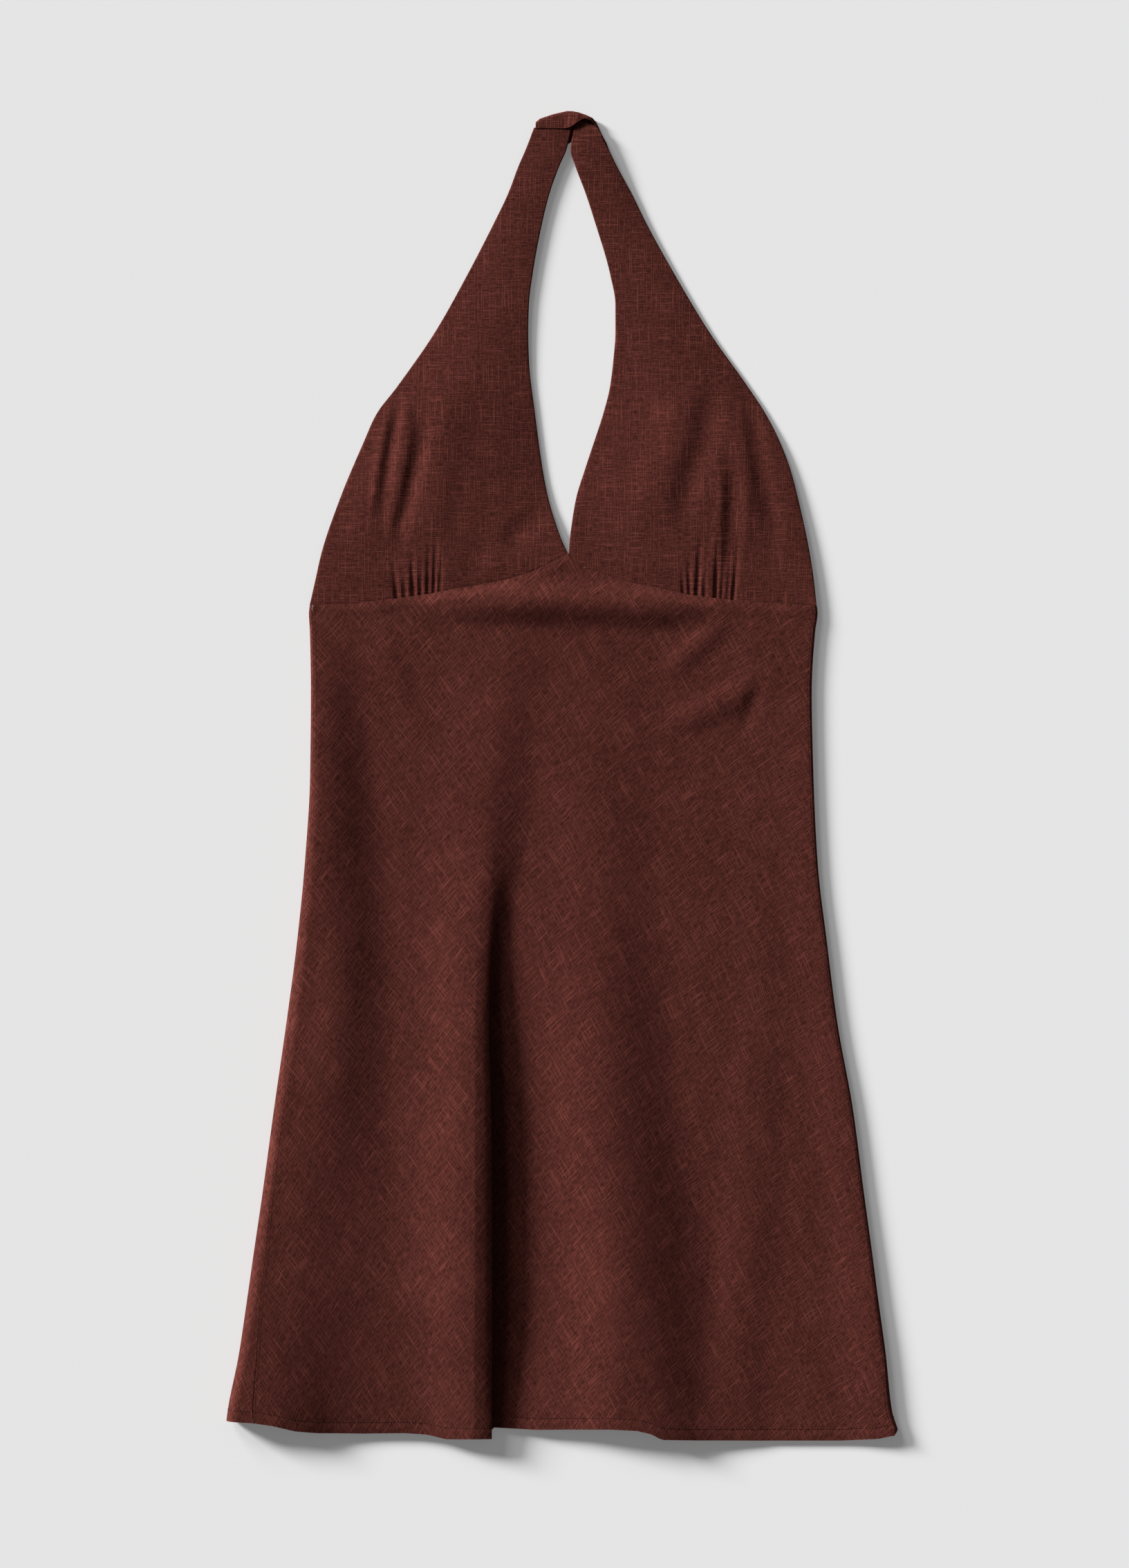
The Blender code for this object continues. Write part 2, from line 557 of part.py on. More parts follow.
def linen(name):
    """Plain brown linen, one material for each piece."""
    material = bpy.data.materials.new(name)
    material.use_nodes = True
    shader = material.node_tree.nodes["Principled BSDF"]
    shader.inputs["Base Color"].default_value = CLOTH_COLOUR
    shader.inputs["Roughness"].default_value = CLOTH_ROUGHNESS
    shader.inputs["Metallic"].default_value = 0.0
    return material


def sheet(name, rows, wall, facing_up, collection):
    """A sheet through the rows' points, thickened inwards to a closed wall of cloth."""
    width = len(rows[0])
    points = [(x * MM, y * MM, z * MM) for row in rows for x, y, z in row]
    faces = []
    for r in range(len(rows) - 1):
        for c in range(width - 1):
            face = (r * width + c, (r + 1) * width + c, (r + 1) * width + c + 1, r * width + c + 1)
            faces.append(face if facing_up else face[::-1])
    mesh = bpy.data.meshes.new(name)
    mesh.from_pydata(points, [], faces)
    mesh.materials.append(linen(name + "_linen"))
    mesh.shade_smooth()
    piece = bpy.data.objects.new(name, mesh)
    collection.objects.link(piece)
    thickness = piece.modifiers.new("wall", "SOLIDIFY")
    thickness.thickness = wall * MM
    thickness.offset = -1.0
    return piece


for leftover in list(bpy.data.objects):
    bpy.data.objects.remove(leftover, do_unlink=True)
dress = bpy.data.collections.new("halter_mini_dress")
bpy.context.scene.collection.children.link(dress)

sheet("front_skirt", front_skirt(), SKIRT_WALL, True, dress)
sheet("back_skirt", back_skirt(), SKIRT_WALL, False, dress)
sheet("left_cup", cup("left_cup"), CUP_WALL, True, dress)
sheet("right_cup", cup("right_cup"), CUP_WALL, True, dress)
sheet("neck_band", neck_band(), BAND_WALL, True, dress)
sheet("neck_band_end", neck_band_end(), BAND_WALL, True, dress)
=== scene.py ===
import math

import bpy
import numpy as np
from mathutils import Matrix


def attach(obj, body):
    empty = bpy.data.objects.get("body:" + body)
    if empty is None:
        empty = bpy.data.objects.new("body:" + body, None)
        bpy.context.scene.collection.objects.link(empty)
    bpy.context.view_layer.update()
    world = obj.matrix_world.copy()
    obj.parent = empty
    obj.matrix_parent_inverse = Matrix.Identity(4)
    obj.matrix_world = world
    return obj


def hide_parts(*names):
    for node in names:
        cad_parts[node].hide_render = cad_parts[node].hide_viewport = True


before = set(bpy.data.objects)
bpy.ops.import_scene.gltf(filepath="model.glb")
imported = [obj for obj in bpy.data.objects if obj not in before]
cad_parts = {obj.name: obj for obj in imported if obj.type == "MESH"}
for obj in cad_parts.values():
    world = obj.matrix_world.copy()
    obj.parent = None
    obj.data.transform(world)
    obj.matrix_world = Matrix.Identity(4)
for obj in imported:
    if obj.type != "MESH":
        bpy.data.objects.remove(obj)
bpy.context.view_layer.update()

# The skirt: a front and a back panel of one-layer linen, cut on the bias and sewn together at the
# sides. It is laid flat, so the back lies on the surface and wraps up over both side edges, and
# the front lies on it in soft folds. All sizes are in millimetres until a mesh is made.
MM = 0.001
SKIRT_WALL = 1.2
SIDE_GAP = 0.15

# At the seam under the bust the front lies this high, with a low ridge over the turned allowance
# and a fine dip along the stitching, and the folds begin this far below it.
SEAM_HEIGHT = 3.8
SEAM_RIDGE = 0.4
SEAM_RIDGE_AT = 5.0
SEAM_RIDGE_REACH = 5.0
SEAM_DIP = 0.16
SEAM_DIP_REACH = 1.4
SEAM_FADE = 26.0
SEAM_POINT_X = 4.5
CREASE_CLEAR = 8.0

# The folds die away this far from the side edges.
LEFT_CLEAR = 40.0
EDGE_CLEAR = 12.0

# Where the seam and the hem lie, from left to right, and about how far up each of them is.
SEAM_LINE = {
    "x": (-174.5, -146, -115, -93.5, -75.5, -57, -39, -21, -8.5, 4.5,
          9, 15.5, 31.5, 48.5, 68.5, 85, 101, 118.5, 143.5, 176.5),
    "y": (118, 119, 122.7, 125.6, 129.2, 132.1, 135.5, 141, 147, 154,
          150.8, 144.1, 138.6, 133.5, 129.7, 125.9, 123.5, 121.6, 119.7, 117.5),
}
HEM_LINE = {
    "x": (-214, -199, -184, -169, -138, -108, -93, -80, -51, -47.5, -17,
          34, 52, 62, 69, 95, 138, 194, 219, 228),
    "y": (-446.8, -449, -452.8, -454.3, -455, -454.7, -455.7, -458.6, -458.1, -450.9, -452.3,
          -451.4, -452.3, -454.7, -458.6, -459.5, -460, -460, -458.6, -456.6),
}
SEAM_AT = 125.0
HEM_AT = -452.0

# The hem is turned up this wide. It is a little thicker, and its stitches draw it in.
HEM_TURN = 8.0
HEM_PUFF = 0.1
STITCH_DIP = 0.12
STITCH_DIP_REACH = 1.8

# Over the last stretch of cloth the front sinks by these shares of its height.
HEM_FALL = {
    "x": (-225, -200, -180, -155, -130, -95, -78, -62, -45, -20, 10, 45, 110, 230),
    "share": (0, 0.05, 0.3, 0.7, 0.85, 0.82, 0.66, 0.5, 0.4, 0, 0, 0.2, 0, 0),
}
HEM_FALL_REACH = 100.0
HEM_FALL_SHAPE = 1.3

# The back panel's straight upper edge, just under the seam, and its hem.
BACK_TOP = 112.0
BACK_HEM = -445.0
SIDE_HEM = {"left": -445.6, "right": -451.0}

# The side edges, how high each rolls, and how far over the roll its side seam lies.
SIDES = {
    "y": (118, 113, 100, 58, 0, -60, -115, -170, -230, -290, -330, -360, -400, -440, -452),
    "left": (-174.3, -175, -174.3, -173.5, -174, -177.6, -183, -190.2, -198.8, -207, -212.9,
             -217.2, -223.2, -231.1, -232.5),
    "right": (176.4, 177.1, 175.4, 173, 174.2, 177.1, 183.5, 190.6, 201.4, 209.3, 214.8,
              218.7, 224.2, 228.7, 232.5),
    "left_rise": (4, 4.2, 5, 7.6, 10.4, 12.6, 14.2, 15.3, 16.2, 16, 15.7, 15.2, 14.4, 13.4, 13),
    "right_rise": (4, 4, 4, 4, 4, 4, 4.1, 4.2, 4.4, 4.6, 4.8, 5, 5.2, 5.4, 5.4),
    "left_seam": (2.1, 2.1, 2.1, 2.1, 2.1, 2.1, 2.1, 2.2, 5, 6.2, 8.7, 9.6, 12.6, 17.6, 19.2),
    "right_seam": (2, 2, 1.8, 1.6, 1.4, 1.2, 1.2, 1.2, 1.2, 1.2, 1.2, 1.2, 1.6, 2.6, 2.8),
    "left_reach": (24, 25, 28, 34, 42, 54, 66, 76, 86, 96, 100, 102, 104, 106, 106),
    "right_reach": (30, 30, 30, 30, 30, 30, 30, 30, 30, 32, 34, 36, 38, 40, 40),
}

# The open front begins this far past the side seam, or past the upper part of the roll.
JOIN_MARGIN = 4.0

# The level at which the front lies on the back, away from the folds.
LYING = {"y": (118, 0, -168, -452), "z": (3.8, 3.3, 2.9, 2.7)}

# The folds of the front: the middle of each crest, its flat, its two slopes and its rise. The
# peak makes the left slope hug the crest where it is over 1, and swell out where it is under 1.
FLUTES = {
    "left_flute": {
        "y": (100, -37, -85, -133, -181, -277, -372, -452),
        "crest": (-168, -165, -163, -161, -159, -157, -155, -152),
        "flat": (2, 2, 2, 2, 2, 2, 2, 2),
        "left_slope": (22, 30, 34, 38, 40, 42, 42, 42),
        "right_slope": (30, 38, 40, 42, 44, 44, 44, 44),
        "rise": (0, 0.5, 1.4, 2.6, 2.5, 0.6, 0, 0),
        "peak": 0.6,
    },
    "deep_fold": {
        "y": (118, -38, -85, -133, -181, -277, -452),
        "crest": (-38, -54, -57, -59, -60, -60, -60.5),
        "flat": (0, 0, 0, 0, 0, 0, 0),
        "left_slope": (72, 60, 52, 48, 46, 46, 50),
        "right_slope": (40, 34, 26, 14, 6, 4, 4),
        "rise": (1.0, 2.4, 3.2, 3.6, 3.5, 3.1, 3.3),
        "peak": 1.5,
    },
    "left_trough": {
        "y": (-85, -133, -181, -277, -372, -452),
        "crest": (-120, -120, -120, -120, -118, -116),
        "flat": (0, 0, 0, 0, 0, 0),
        "left_slope": (60, 64, 70, 74, 76, 76),
        "right_slope": (50, 50, 50, 50, 50, 50),
        "rise": (0, -0.8, -2.0, -3.4, -3.8, -3.4),
        "peak": 1.0,
    },
    "right_flute": {
        "y": (60, -87, -181, -277, -372, -452),
        "crest": (16, 21, 26.5, 34, 41, 46),
        "flat": (0, 0, 0, 0, 0, 2),
        "left_slope": (60, 56, 54, 54, 54, 54),
        "right_slope": (50, 50, 54, 64, 74, 80),
        "rise": (0.4, 1.8, 3.6, 5.2, 6.4, 6.8),
        "peak": 1.6,
    },
    "right_swell": {
        "y": (60, -87, -181, -277, -372, -452),
        "crest": (16, 21, 26.5, 34, 41, 46),
        "flat": (0, 0, 0, 0, 0, 2),
        "left_slope": (60, 66, 74, 82, 90, 96),
        "right_slope": (50, 50, 54, 64, 74, 80),
        "rise": (0, 1.2, 2.6, 4.0, 4.9, 5.2),
        "peak": 0.55,
    },
    "small_fold": {
        "y": (60, -168, -266, -400, -452),
        "crest": (140, 135, 131, 121, 119),
        "flat": (4, 4, 4, 4, 4),
        "left_slope": (22, 22, 22, 24, 26),
        "right_slope": (22, 22, 24, 26, 26),
        "rise": (0.2, 0.6, 1.0, 1.4, 1.4),
        "peak": 1.0,
    },
}

# Left of the deep fold the cloth lies higher than on its other side, by this much.
SHOULDER = {
    "y": (118, -38, -85, -133, -181, -277, -452),
    "z": (0, 1.2, 2.9, 5.6, 8.7, 11.8, 12.2),
}

# The deep fold's sheer side bulges out like a pipe, by this much. Its face is at most this wide,
# and the columns of points lie closer together from this many faces before it to this many after.
BULGE = {
    "y": (118, -60, -85, -133, -181, -277, -452),
    "by": (0, 0, 1.5, 5, 8, 10.5, 11),
}
BULGE_SHAPE = 2.5
SHEER_FACE = 8.0
SHEER_BEFORE = 4.0
SHEER_AFTER = 3.4

# Shallow creases pressed into the front: the line of each, its height and half its width. Each
# dies away over this share of its length, at both ends.
CREASE_FADE = 0.3
SKIRT_CREASES = (
    {"x": (-118, -60, 0, 62, 128), "y": (120, 121, 120, 117, 117), "height": 4.2, "half": 20},
    {"x": (120, 66), "y": (112, 65.5), "height": 1.2, "half": 12},
    {"x": (156, 61), "y": (74, 26), "height": 1.4, "half": 15},
    {"x": (141.5, 133, 123), "y": (77.5, 53.6, 22.5), "height": -0.9, "half": 9},
    {"x": (-134, -112, -92), "y": (108, 60, 10), "height": 0.8, "half": 15},
)


def smooth(table_x, table_y, x):
    """A curve through the table's points that never swings past them."""
    px = np.asarray(table_x, float)
    py = np.asarray(table_y, float)
    if px[0] > px[-1]:
        px, py = px[::-1], py[::-1]
    step = np.diff(px)
    rise = np.diff(py) / step
    slope = np.zeros_like(px)
    slope[0], slope[-1] = rise[0], rise[-1]
    same = rise[:-1] * rise[1:] > 0
    ahead = 2 * step[1:] + step[:-1]
    behind = step[1:] + 2 * step[:-1]
    safe = np.where(same, rise[:-1] * rise[1:], 1.0)
    mean = (ahead + behind) * safe / (ahead * rise[1:] + behind * rise[:-1] + (~same))
    slope[1:-1] = np.where(same, mean, 0.0)
    x = np.clip(np.asarray(x, float), px[0], px[-1])
    i = np.clip(np.searchsorted(px, x) - 1, 0, len(step) - 1)
    t = (x - px[i]) / step[i]
    return (py[i] * (1 + 2 * t) * (1 - t) ** 2 + py[i + 1] * t * t * (3 - 2 * t)
            + step[i] * (slope[i] * t * (1 - t) ** 2 - slope[i + 1] * t * t * (1 - t)))


def ease(t):
    """Rises softly from 0 to 1 as t does."""
    t = np.clip(t, 0.0, 1.0)
    return t * t * (3 - 2 * t)


def hump(t):
    """1 at t = 0, falling softly to 0 at t = 1 and t = -1."""
    return 0.5 + 0.5 * np.cos(math.pi * np.clip(np.abs(t), 0.0, 1.0))


def side(column, y):
    return smooth(SIDES["y"], SIDES[column], y)


def seam_y(x):
    return np.interp(x, SEAM_LINE["x"], SEAM_LINE["y"])


def hem_y(x):
    return np.interp(x, HEM_LINE["x"], HEM_LINE["y"])


def crease(line, x, y):
    """The height of one crease at x, y. It dies away sideways and towards both ends."""
    points = np.column_stack((line["x"], line["y"])).astype(float)
    spans = np.diff(points, axis=0)
    lengths = np.hypot(spans[:, 0], spans[:, 1])
    starts = np.concatenate(([0.0], np.cumsum(lengths)))
    nearest = np.full(np.shape(x), 1e9)
    along = np.zeros(np.shape(x))
    for start, span, length, before in zip(points, spans, lengths, starts):
        t = np.clip(((x - start[0]) * span[0] + (y - start[1]) * span[1]) / length ** 2, 0, 1)
        away = np.hypot(x - start[0] - span[0] * t, y - start[1] - span[1] * t)
        closer = away < nearest
        nearest = np.where(closer, away, nearest)
        along = np.where(closer, before + length * t, along)
    dying = CREASE_FADE * starts[-1]
    fade = ease(along / dying) * ease((starts[-1] - along) / dying)
    return line["height"] * hump(nearest / line["half"]) * fade


def flute_height(flute, x, y):
    """How far one fold of the front stands above the lying level."""
    at = {key: smooth(flute["y"], flute[key], y) for key in flute if key not in ("y", "peak")}
    past = x - at["crest"]
    beside = np.maximum(np.abs(past) - at["flat"] / 2, 0.0)
    form = hump(beside / np.where(past < 0, at["left_slope"], at["right_slope"]))
    return at["rise"] * form ** np.where(past < 0, flute["peak"], 1.0)


def side_wrap(which, y):
    """How far over its rolled edge, along the cloth, a side seam lies."""
    radius, inwards = side(which + "_rise", y) / 2, side(which + "_seam", y)
    on_round = radius * np.arccos(np.clip(1 - inwards / radius, 0.0, 1.0))
    return on_round + np.maximum(inwards - radius, 0.0)


def roll_tops(y):
    """Where the rolled side edges are highest."""
    return side("left", y) + side("left_rise", y) / 2, side("right", y) - side("right_rise", y) / 2


def front_height(x, y):
    """The upper surface of the skirt front at x, y."""
    left, right = roll_tops(y)
    below = seam_y(x) - y
    free = ease(below / SEAM_FADE)
    deep = FLUTES["deep_fold"]
    past = np.maximum(x - smooth(deep["y"], deep["crest"], y), 0.0)
    shoulder = smooth(SHOULDER["y"], SHOULDER["z"], y)
    shoulder = shoulder * hump(past / smooth(deep["y"], deep["right_slope"], y))
    level = SEAM_HEIGHT + (smooth(LYING["y"], LYING["z"], y) - SEAM_HEIGHT) * free
    level = level + shoulder
    z = level + (side("left_rise", y) - level) * hump((x - left) / side("left_reach", y))
    z = z + (side("right_rise", y) - level) * hump((right - x) / side("right_reach", y))
    folds = free * sum(flute_height(flute, x, y) for flute in FLUTES.values())
    folds = folds + SEAM_RIDGE * hump((below - SEAM_RIDGE_AT) / SEAM_RIDGE_REACH)
    folds = folds + ease(below / CREASE_CLEAR) * sum(crease(line, x, y) for line in SKIRT_CREASES)
    folds = folds * ease((x - left) / LEFT_CLEAR) * ease((right - x) / EDGE_CLEAR)
    return z + folds - SEAM_DIP * hump(below / SEAM_DIP_REACH)


def roll_point(which, s, y):
    """A point of the skirt at a distance s along the cloth from its side edge."""
    edge, radius = side(which, y), side(which + "_rise", y) / 2
    inwards = 1 if which == "left" else -1
    quarter = radius * math.pi / 2
    angle = np.clip(s, -quarter, quarter) / radius
    x_round = edge + inwards * (radius * (1 - np.cos(angle)) + np.maximum(-s - quarter, 0.0))
    x_open = edge + inwards * (radius + s - quarter)
    z_open = front_height(x_open, y)
    over = s > quarter
    return np.where(over, x_open, x_round), np.where(over, z_open, radius + radius * np.sin(angle))


def join_distance(which, y):
    """How far over the rolled edge the side columns end and the open front begins."""
    quarter = side(which + "_rise", y) * math.pi / 4
    return np.maximum(quarter, side_wrap(which, y)) + JOIN_MARGIN


def front_point(place, y):
    """x and z of the front panel in one of its columns, at each y."""
    stretch, share = place
    deep = FLUTES["deep_fold"]
    crest = smooth(deep["y"], deep["crest"], y)
    face = np.minimum(smooth(deep["y"], deep["right_slope"], y), SHEER_FACE)
    if stretch in ("left_roll", "right_roll"):
        which = stretch.split("_")[0]
        start = side_wrap(which, y) + SIDE_GAP / 2
        return roll_point(which, start + (join_distance(which, y) - start) * share, y)
    left = roll_point("left", join_distance("left", y), y)[0]
    right = roll_point("right", join_distance("right", y), y)[0]
    before, after = crest - SHEER_BEFORE * face, crest + SHEER_AFTER * face
    if stretch == "left_field":
        x = left + (before - left) * share
    elif stretch == "sheer":
        x = crest + share * face
    elif stretch == "middle":
        x = after + (SEAM_POINT_X - after) * share
    else:
        x = SEAM_POINT_X + (right - SEAM_POINT_X) * share
    return x, front_height(x, y)


def even(count):
    """Shares from 0 up to, and not including, 1."""
    return [i / count for i in range(count)]


def skirt_levels(fine):
    """Shares of the way from the seam to the hem, closer together at the seam and the hem."""
    near = list(np.linspace(0.0, 0.07, 16)[:-1])
    far = list(np.linspace(0.97, 1.0, 13))
    return near + list(np.linspace(0.07, 0.97, fine)[:-1]) + far


def front_panel():
    """The front as a grid of points: over the left roll, across its folds, over the right roll."""
    sheer = np.concatenate((np.linspace(-SHEER_BEFORE, -0.4, 9), np.linspace(-0.15, 1.05, 19),
                            np.linspace(1.3, SHEER_AFTER, 7)))
    columns = [("left_roll", share) for share in even(5)]
    columns += [("left_field", share) for share in even(54)]
    columns += [("sheer", step) for step in sheer]
    columns += [("middle", share) for share in even(16)[1:]]
    columns += [("right_field", share) for share in even(74)]
    columns += [("right_roll", 1 - share) for share in even(5)] + [("right_roll", 0.0)]
    levels = np.array(skirt_levels(162))
    deep = FLUTES["deep_fold"]
    grid = np.zeros((len(levels), len(columns), 3))
    for c, place in enumerate(columns):
        y_top = seam_y(front_point(place, np.array([SEAM_AT]))[0][0])
        y_hem = hem_y(front_point(place, np.array([HEM_AT]))[0][0])
        y = y_top + (y_hem - y_top) * levels
        x, z = front_point(place, y)
        crest = smooth(deep["y"], deep["crest"], y)
        bulge = smooth(BULGE["y"], BULGE["by"], y)
        risen = flute_height(deep, x, y) / smooth(deep["y"], deep["rise"], y)
        pipe = bulge * np.sin(math.pi * risen ** BULGE_SHAPE)
        up = y - y_hem
        near = np.clip(1 - up / HEM_FALL_REACH, 0, 1) ** HEM_FALL_SHAPE
        fall = smooth(HEM_FALL["x"], HEM_FALL["share"], x) * near
        z = LYING["z"][-1] + (z - LYING["z"][-1]) * (1 - fall)
        turned_up = HEM_PUFF * hump((up - HEM_TURN / 2) / (HEM_TURN / 2))
        grid[:, c, 0] = x + np.where(x > crest, pipe, 0.0)
        grid[:, c, 1] = y
        grid[:, c, 2] = z + turned_up - STITCH_DIP * hump((up - HEM_TURN) / STITCH_DIP_REACH)
    return grid


def back_panel():
    """The back as a grid: from the left side seam round the edge, on the surface and up again."""
    wrap = np.linspace(1.0, 0.0, 10)[:-1]
    under = np.linspace(0.0, -1.0, 9)
    path = [("left", share) for share in wrap] + [("left", share) for share in under]
    path += [("floor", (i + 1) / 40) for i in range(39)]
    path += [("right", share) for share in under[::-1]]
    path += [("right", share) for share in wrap[::-1]]
    levels = np.array(skirt_levels(100))
    grid = np.zeros((len(levels), len(path), 3))
    for c, (which, along) in enumerate(path):
        name = "right" if which == "right" else "left"
        raised = max(along, 0.0) if which != "floor" else 0.0
        at_edge = 1 + min(along, 0.0) if which != "floor" else 0.0
        y_top = BACK_TOP + (SIDES["y"][0] - BACK_TOP) * at_edge
        x_hem = roll_point(name, side_wrap(name, HEM_AT), np.array(HEM_AT))[0]
        y_hem = BACK_HEM + (SIDE_HEM[name] - BACK_HEM) * at_edge
        y_hem += (hem_y(x_hem) - SIDE_HEM[name]) * raised
        y = y_top + (y_hem - y_top) * levels
        if which == "floor":
            left, right = roll_tops(y)
            x, z = left + (right - left) * along, np.zeros_like(y)
        elif along > 0:
            x, z = roll_point(which, (side_wrap(which, y) - SIDE_GAP / 2) * along, y)
        else:
            x, z = roll_point(which, along * side(which + "_rise", y) * math.pi / 4, y)
        grid[:, c] = np.column_stack((x, y, z))
    return grid


# The bias cut of the skirt: how far its threads are turned, the bend of the flared panel, how
# much it widens downwards, and how much shorter it lies than it is cut.
GRAIN_TURN = 37.5
FLARE_RADIUS = 920.0
FLARE_WIDENING = 2500.0
GRAIN_LENGTH = 0.85


def thread_map(grid):
    """Where each point lies on the flat cloth, in millimetres along its two sets of threads."""
    steps = np.linalg.norm(np.diff(grid, axis=1), axis=2)
    across = np.concatenate((np.zeros((len(grid), 1)), np.cumsum(steps, axis=1)), axis=1)
    across = across - across[:, -1:] / 2
    along = grid[:, :, 1] * GRAIN_LENGTH + across ** 2 / (2 * FLARE_RADIUS)
    across = across * (1 + (SIDES["y"][0] - grid[:, :, 1]) / FLARE_WIDENING)
    c, s = math.cos(math.radians(GRAIN_TURN)), math.sin(math.radians(GRAIN_TURN))
    return np.stack((across * c + along * s, along * c - across * s), axis=2)


# The linen's threads and thicker slubs: the size of their streaks in millimetres across and
# along, where the pattern starts and how strongly it shows.
LINEN_COLOUR = (0.068, 0.0185, 0.0145)
THREADS = (
    {"across": 4.5, "along": 0.6, "start": 3.1, "share": 0.40},
    {"across": 0.6, "along": 3.5, "start": 11.3, "share": 0.34},
    {"across": 18, "along": 0.8, "start": 61.7, "share": 0.15},
    {"across": 0.8, "along": 12, "start": 73.9, "share": 0.11},
)
SLUBS = (
    {"across": 0.8, "along": 26, "start": 23.7, "share": 0.45},
    {"across": 20, "along": 0.8, "start": 41.9, "share": 0.45},
)
PATCHES = {"across": 42, "along": 55, "start": 5.9, "share": 0.08}
DARKEST, LIGHTEST = 0.55, 1.9


def linen(name, colour):
    """Slubby linen: uneven threads both ways, with thicker slubs here and there."""
    material = bpy.data.materials.new(name)
    material.use_nodes = True
    nodes, links = material.node_tree.nodes, material.node_tree.links
    shader = nodes["Principled BSDF"]
    shader.inputs["Roughness"].default_value = 0.88
    shader.inputs["Specular IOR Level"].default_value = 0.0
    shader.inputs["Sheen Weight"].default_value = 0.01
    shader.inputs["Sheen Roughness"].default_value = 0.5
    shader.inputs["Sheen Tint"].default_value = (1.0, 0.82, 0.76, 1.0)
    threads = nodes.new("ShaderNodeUVMap")
    threads.uv_map = "threads"

    def streaks(size, low, high):
        """Uneven streaks of one size, as a value from 0 to their share."""
        mapping = nodes.new("ShaderNodeMapping")
        mapping.inputs["Location"].default_value = (size["start"], size["start"] * 0.7, 0.0)
        scale = (1000 / size["across"], 1000 / size["along"], 1.0)
        mapping.inputs["Scale"].default_value = scale
        links.new(threads.outputs["UV"], mapping.inputs["Vector"])
        noise = nodes.new("ShaderNodeTexNoise")
        noise.noise_dimensions = "2D"
        noise.inputs["Scale"].default_value = 1.0
        noise.inputs["Detail"].default_value = 0.0
        links.new(mapping.outputs["Vector"], noise.inputs["Vector"])
        spread = nodes.new("ShaderNodeMapRange")
        spread.inputs["From Min"].default_value = low
        spread.inputs["From Max"].default_value = high
        links.new(noise.outputs["Fac"], spread.inputs["Value"])
        return combine("MULTIPLY", spread.outputs["Result"], size["share"])

    def combine(operation, a, b):
        node = nodes.new("ShaderNodeMath")
        node.operation = operation
        for socket, value in zip(node.inputs, (a, b)):
            if isinstance(value, (int, float)):
                socket.default_value = value
            else:
                links.new(value, socket)
        return node.outputs["Value"]

    yarn, slub = 0.0, 0.0
    for size in THREADS:
        yarn = combine("ADD", yarn, streaks(size, 0.25, 0.75))
    for size in SLUBS:
        slub = combine("ADD", slub, streaks(size, 0.64, 0.78))
    relief = combine("ADD", yarn, slub)
    tone = combine("ADD", relief, streaks(PATCHES, 0.25, 0.75))
    tone = combine("SUBTRACT", tone, 0.21)
    ramp = nodes.new("ShaderNodeValToRGB")
    for element, position, strength in zip(ramp.color_ramp.elements, (0, 1), (DARKEST, LIGHTEST)):
        element.position = position
        element.color = [value * strength for value in colour] + [1.0]
    links.new(tone, ramp.inputs["Fac"])
    links.new(ramp.outputs["Color"], shader.inputs["Base Color"])
    bump = nodes.new("ShaderNodeBump")
    bump.inputs["Strength"].default_value = 0.35
    bump.inputs["Distance"].default_value = 0.0003
    links.new(relief, bump.inputs["Height"])
    links.new(bump.outputs["Normal"], shader.inputs["Normal"])
    return material


def cloth(name, grid, threads, wall, facing_up, material):
    """A sheet of cloth through a grid of points, thickened inwards."""
    rows, columns = grid.shape[:2]
    r, c = np.meshgrid(np.arange(rows - 1), np.arange(columns - 1), indexing="ij")
    first = (r * columns + c).ravel()
    faces = np.column_stack((first, first + columns, first + columns + 1, first + 1))
    if not facing_up:
        faces = faces[:, ::-1]
    mesh = bpy.data.meshes.new(name)
    mesh.from_pydata((grid.reshape(-1, 3) * MM).tolist(), [], faces.tolist())
    layer = mesh.uv_layers.new(name="threads")
    flat = threads.reshape(-1, 2)[faces.ravel()] * MM + 0.5
    layer.uv.foreach_set("vector", flat.astype(np.float32).ravel())
    mesh.materials.append(material)
    piece = bpy.data.objects.new(name, mesh)
    bpy.context.scene.collection.objects.link(piece)
    bpy.ops.object.select_all(action="DESELECT")
    piece.select_set(True)
    bpy.context.view_layer.objects.active = piece
    thickness = piece.modifiers.new("wall", "SOLIDIFY")
    thickness.thickness = wall * MM
    thickness.offset = -1.0
    bpy.ops.object.modifier_apply(modifier="wall")
    bpy.ops.object.shade_smooth_by_angle(angle=math.radians(50))
    return piece


brown_linen = linen("brown_linen", LINEN_COLOUR)
back_grid = back_panel()
skirt_back = cloth("skirt_back", back_grid, thread_map(back_grid), SKIRT_WALL, False, brown_linen)
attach(skirt_back, "root")
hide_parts("back_skirt")

front_grid = front_panel()
skirt_front = cloth("skirt_front", front_grid, thread_map(front_grid), SKIRT_WALL, True,
                    brown_linen)
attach(skirt_front, "root")
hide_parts("front_skirt")


# Sewing: the hem is turned up and held by one row of stitches, and a finer row lies beside each
# side seam. Both are dark brown cotton thread, drawn into the cloth.
HEM_STITCH = {"pitch": 2.1, "length": 1.4, "width": 0.46}
SEAM_STITCH = {"pitch": 1.5, "length": 0.8, "width": 0.36}
BESIDE_SEAM = 1.6

# A stitch has six sides and four rings: where each ring lies along it, its girth and its height.
STITCH_SIDES = 6
STITCH_RINGS = ((-0.5, 0.3, -0.5), (-0.25, 1.0, 0.2), (0.25, 1.0, 0.2), (0.5, 0.3, -0.5))


